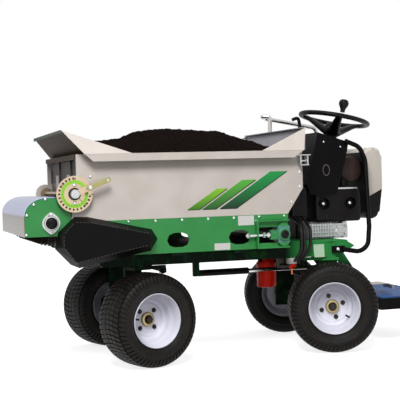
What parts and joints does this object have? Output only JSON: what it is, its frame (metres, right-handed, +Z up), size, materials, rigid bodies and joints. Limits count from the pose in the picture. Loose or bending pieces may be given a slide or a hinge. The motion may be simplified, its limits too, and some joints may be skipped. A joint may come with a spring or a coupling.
{
  "type": "ride-on topdresser",
  "caption": "Self-propelled ride-on topdresser: open hopper over a conveyor belt, metering gate with dial lever, rotary brush, steered wheels, engine and a folding operator platform.",
  "frame": {"origin": "on the ground, under the middle of the machine's box", "axes": "+X along the machine from the brush to the operator's platform, +Y across to the side without the chain guard, +Z up"},
  "size_m": [2.004, 0.95, 1.1641],
  "materials": {
    "green_paint": "gloss powder coat",
    "beige_paint": "gloss powder coat",
    "black_paint": "satin powder coat",
    "white_paint": "gloss enamel",
    "red_paint": "gloss enamel",
    "zinc_plate": "yellow zinc plate",
    "bare_steel": "machined",
    "stainless": "brushed stainless",
    "cast_alloy": "as cast",
    "chrome": "polished",
    "belt_rubber": "matt",
    "hose_rubber": "satin",
    "tyre_rubber": "dusty matt",
    "bristle": "matt bristle",
    "black_plastic": "moulded, satin",
    "ivory_plastic": "moulded, satin",
    "mat_blue": "textured"
  },
  "bodies": {
    "chassis": {"near_frame_rail": "green_paint", "far_frame_rail": "green_paint", "front_crossmember": "green_paint", "rear_crossmember": "green_paint", "near_conveyor_side": "green_paint", "far_conveyor_side": "green_paint", "near_take_up": "green_paint", "far_take_up": "green_paint", "near_brush_plate": "green_paint", "far_brush_plate": "green_paint", "near_hopper_side": "beige_paint", "far_hopper_side": "beige_paint", "front_wall": "beige_paint", "rear_wall": "beige_paint", "chain_guard": "black_paint", "console": "black_paint", "guard_tube": "black_paint", "brush_motor": "black_paint", "conveyor_motor": "black_paint", "steering_cylinder": "black_paint", "oil_filter": "red_paint", "gate_dial": "zinc_plate", "conveyor_bed": "bare_steel", "drive_chain": "bare_steel", "brush_cover": "stainless", "engine_block": "cast_alloy", "brush_bearing": "cast_alloy", "grab_rail": "chrome", "conveyor_belt": "belt_rubber", "tank_and_hoses": "hose_rubber", "engine_shroud": "black_plastic", "fan_cover": "ivory_plastic"},
    "head_roller": {"head_roller": "bare_steel"},
    "tail_roller": {"tail_roller": "bare_steel"},
    "motor_sprocket": {"motor_sprocket": "bare_steel"},
    "gate": {"metering_gate": "bare_steel"},
    "gate_shaft": {"gate_shaft": "zinc_plate", "dial_lever": "zinc_plate"},
    "brush": {"rotary_brush": "bristle"},
    "steering_wheel": {"steering_wheel": "black_plastic"},
    "spinner": {"spinner_knob": "black_plastic"},
    "control_lever": {"control_lever": "black_paint"},
    "platform": {"platform_deck": "black_paint", "platform_mat": "mat_blue"},
    "pedal": {"foot_pedal": "beige_paint"},
    "front_tie_rod": {"front_tie_rod": "black_paint"},
    "rear_tie_rod": {"rear_tie_rod": "black_paint"},
    "cylinder_rod": {"cylinder_rod": "chrome"},
    "front_near_leg": {"front_near_leg": "green_paint"},
    "front_near_wheel": {"front_near_rim": "white_paint", "front_near_tyre": "tyre_rubber"},
    "front_far_leg": {"front_far_leg": "green_paint"},
    "front_far_wheel": {"front_far_rim": "white_paint", "front_far_tyre": "tyre_rubber"},
    "rear_near_leg": {"rear_near_leg": "green_paint"},
    "rear_near_wheel": {"rear_near_rim": "white_paint", "rear_near_tyre": "tyre_rubber"},
    "rear_far_leg": {"rear_far_leg": "green_paint"},
    "rear_far_wheel": {"rear_far_rim": "white_paint", "rear_far_tyre": "tyre_rubber"}
  },
  "joints": [
    {"name": "head_roller_spin", "type": "hinge", "parent": "chassis", "child": "head_roller", "pos_m": [-0.759, 0, 0.546], "axis": [0, -1, 0], "continuous": true},
    {"name": "tail_roller_spin", "type": "hinge", "parent": "chassis", "child": "tail_roller", "pos_m": [0.137, 0, 0.546], "axis": [0, -1, 0], "continuous": true},
    {"name": "motor_sprocket_spin", "type": "hinge", "parent": "chassis", "child": "motor_sprocket", "pos_m": [-0.534, 0, 0.554], "axis": [0, -1, 0], "continuous": true},
    {"name": "gate_slide", "type": "slide", "parent": "chassis", "child": "gate", "axis": [0, 0, 1], "range_m": [0, 0.09]},
    {"name": "gate_shaft_turn", "type": "hinge", "parent": "chassis", "child": "gate_shaft", "pos_m": [-0.794, 0, 0.752], "axis": [0, -1, 0], "range_deg": [0, 181.5]},
    {"name": "brush_spin", "type": "hinge", "parent": "chassis", "child": "brush", "pos_m": [-0.891, 0, 0.634], "axis": [0, 1, 0], "continuous": true},
    {"name": "platform_fold", "type": "hinge", "parent": "chassis", "child": "platform", "pos_m": [0.654, 0, 0.226], "axis": [0, -1, 0], "range_deg": [0, 85]},
    {"name": "pedal_press", "type": "hinge", "parent": "platform", "child": "pedal", "pos_m": [0.683, -0.096, 0.2301], "axis": [0, 1, 0], "range_deg": [0, 8], "stiffness_Nm_per_rad": 20, "springref_deg": -5.73},
    {"name": "front_near_steer", "type": "hinge", "parent": "chassis", "child": "front_near_leg", "pos_m": [-0.496, -0.282, 0.203], "axis": [0, 0, 1], "range_deg": [-41.5, 6.5]},
    {"name": "front_far_steer", "type": "hinge", "parent": "chassis", "child": "front_far_leg", "pos_m": [-0.496, 0.282, 0.203], "axis": [0, 0, 1], "range_deg": [-41.5, 6.5]},
    {"name": "rear_near_steer", "type": "hinge", "parent": "chassis", "child": "rear_near_leg", "pos_m": [0.408, -0.282, 0.203], "axis": [0, 0, 1], "range_deg": [-6.5, 41.5]},
    {"name": "rear_far_steer", "type": "hinge", "parent": "chassis", "child": "rear_far_leg", "pos_m": [0.408, 0.282, 0.203], "axis": [0, 0, 1], "range_deg": [-6.5, 41.5]},
    {"name": "front_near_wheel_spin", "type": "hinge", "parent": "front_near_leg", "child": "front_near_wheel", "pos_m": [-0.47856, -0.33732, 0.203], "axis": [-0.3007, 0.9537, 0], "continuous": true},
    {"name": "front_far_wheel_spin", "type": "hinge", "parent": "front_far_leg", "child": "front_far_wheel", "pos_m": [-0.51344, 0.33732, 0.203], "axis": [-0.3007, 0.9537, 0], "continuous": true},
    {"name": "rear_near_wheel_spin", "type": "hinge", "parent": "rear_near_leg", "child": "rear_near_wheel", "pos_m": [0.39056, -0.33732, 0.203], "axis": [0.3007, 0.9537, 0], "continuous": true},
    {"name": "rear_far_wheel_spin", "type": "hinge", "parent": "rear_far_leg", "child": "rear_far_wheel", "pos_m": [0.42544, 0.33732, 0.203], "axis": [0.3007, 0.9537, 0], "continuous": true},
    {"name": "front_tie_rod_turn", "type": "hinge", "parent": "front_near_leg", "child": "front_tie_rod", "pos_m": [-0.38155, -0.24591, 0.4024], "axis": [0, 0, 1], "range_deg": [-6.5, 41.5]},
    {"name": "rear_tie_rod_turn", "type": "hinge", "parent": "rear_near_leg", "child": "rear_tie_rod", "pos_m": [0.29355, -0.24591, 0.4024], "axis": [0, 0, 1], "range_deg": [-41.5, 6.5]},
    {"name": "cylinder_slide", "type": "slide", "parent": "chassis", "child": "cylinder_rod", "axis": [1, 0, 0], "range_m": [-0.078, 0.0125]},
    {"name": "steering_wheel_turn", "type": "hinge", "parent": "chassis", "child": "steering_wheel", "pos_m": [0.581, 0, 1.077], "axis": [0.2079, 0, 0.9781], "range_deg": [-625, 100]},
    {"name": "spinner_turn", "type": "hinge", "parent": "steering_wheel", "child": "spinner", "pos_m": [0.54155, -0.16228, 1.10052], "axis": [0.2079, 0, 0.9781], "continuous": true},
    {"name": "control_lever_tilt", "type": "hinge", "parent": "chassis", "child": "control_lever", "pos_m": [0.456, 0.15, 1.01373], "axis": [0, 1, 0], "range_deg": [-20, 15]}
  ],
  "couplings": [
    {"joint": "tail_roller_spin", "follows": "head_roller_spin", "ratio": 1},
    {"joint": "motor_sprocket_spin", "follows": "head_roller_spin", "ratio": 2.3333},
    {"joint": "gate_shaft_turn", "follows": "gate_slide", "rad_per_m": 35.088},
    {"joint": "front_far_steer", "follows": "front_near_steer", "ratio": 1},
    {"joint": "rear_near_steer", "follows": "front_near_steer", "ratio": -1},
    {"joint": "rear_far_steer", "follows": "front_near_steer", "ratio": -1},
    {"joint": "front_tie_rod_turn", "follows": "front_near_steer", "ratio": -1},
    {"joint": "rear_tie_rod_turn", "follows": "front_near_steer", "ratio": 1},
    {"joint": "cylinder_slide", "follows": "front_near_steer", "m_per_rad": 0.1068},
    {"joint": "steering_wheel_turn", "follows": "front_near_steer", "ratio": 15}
  ]
}
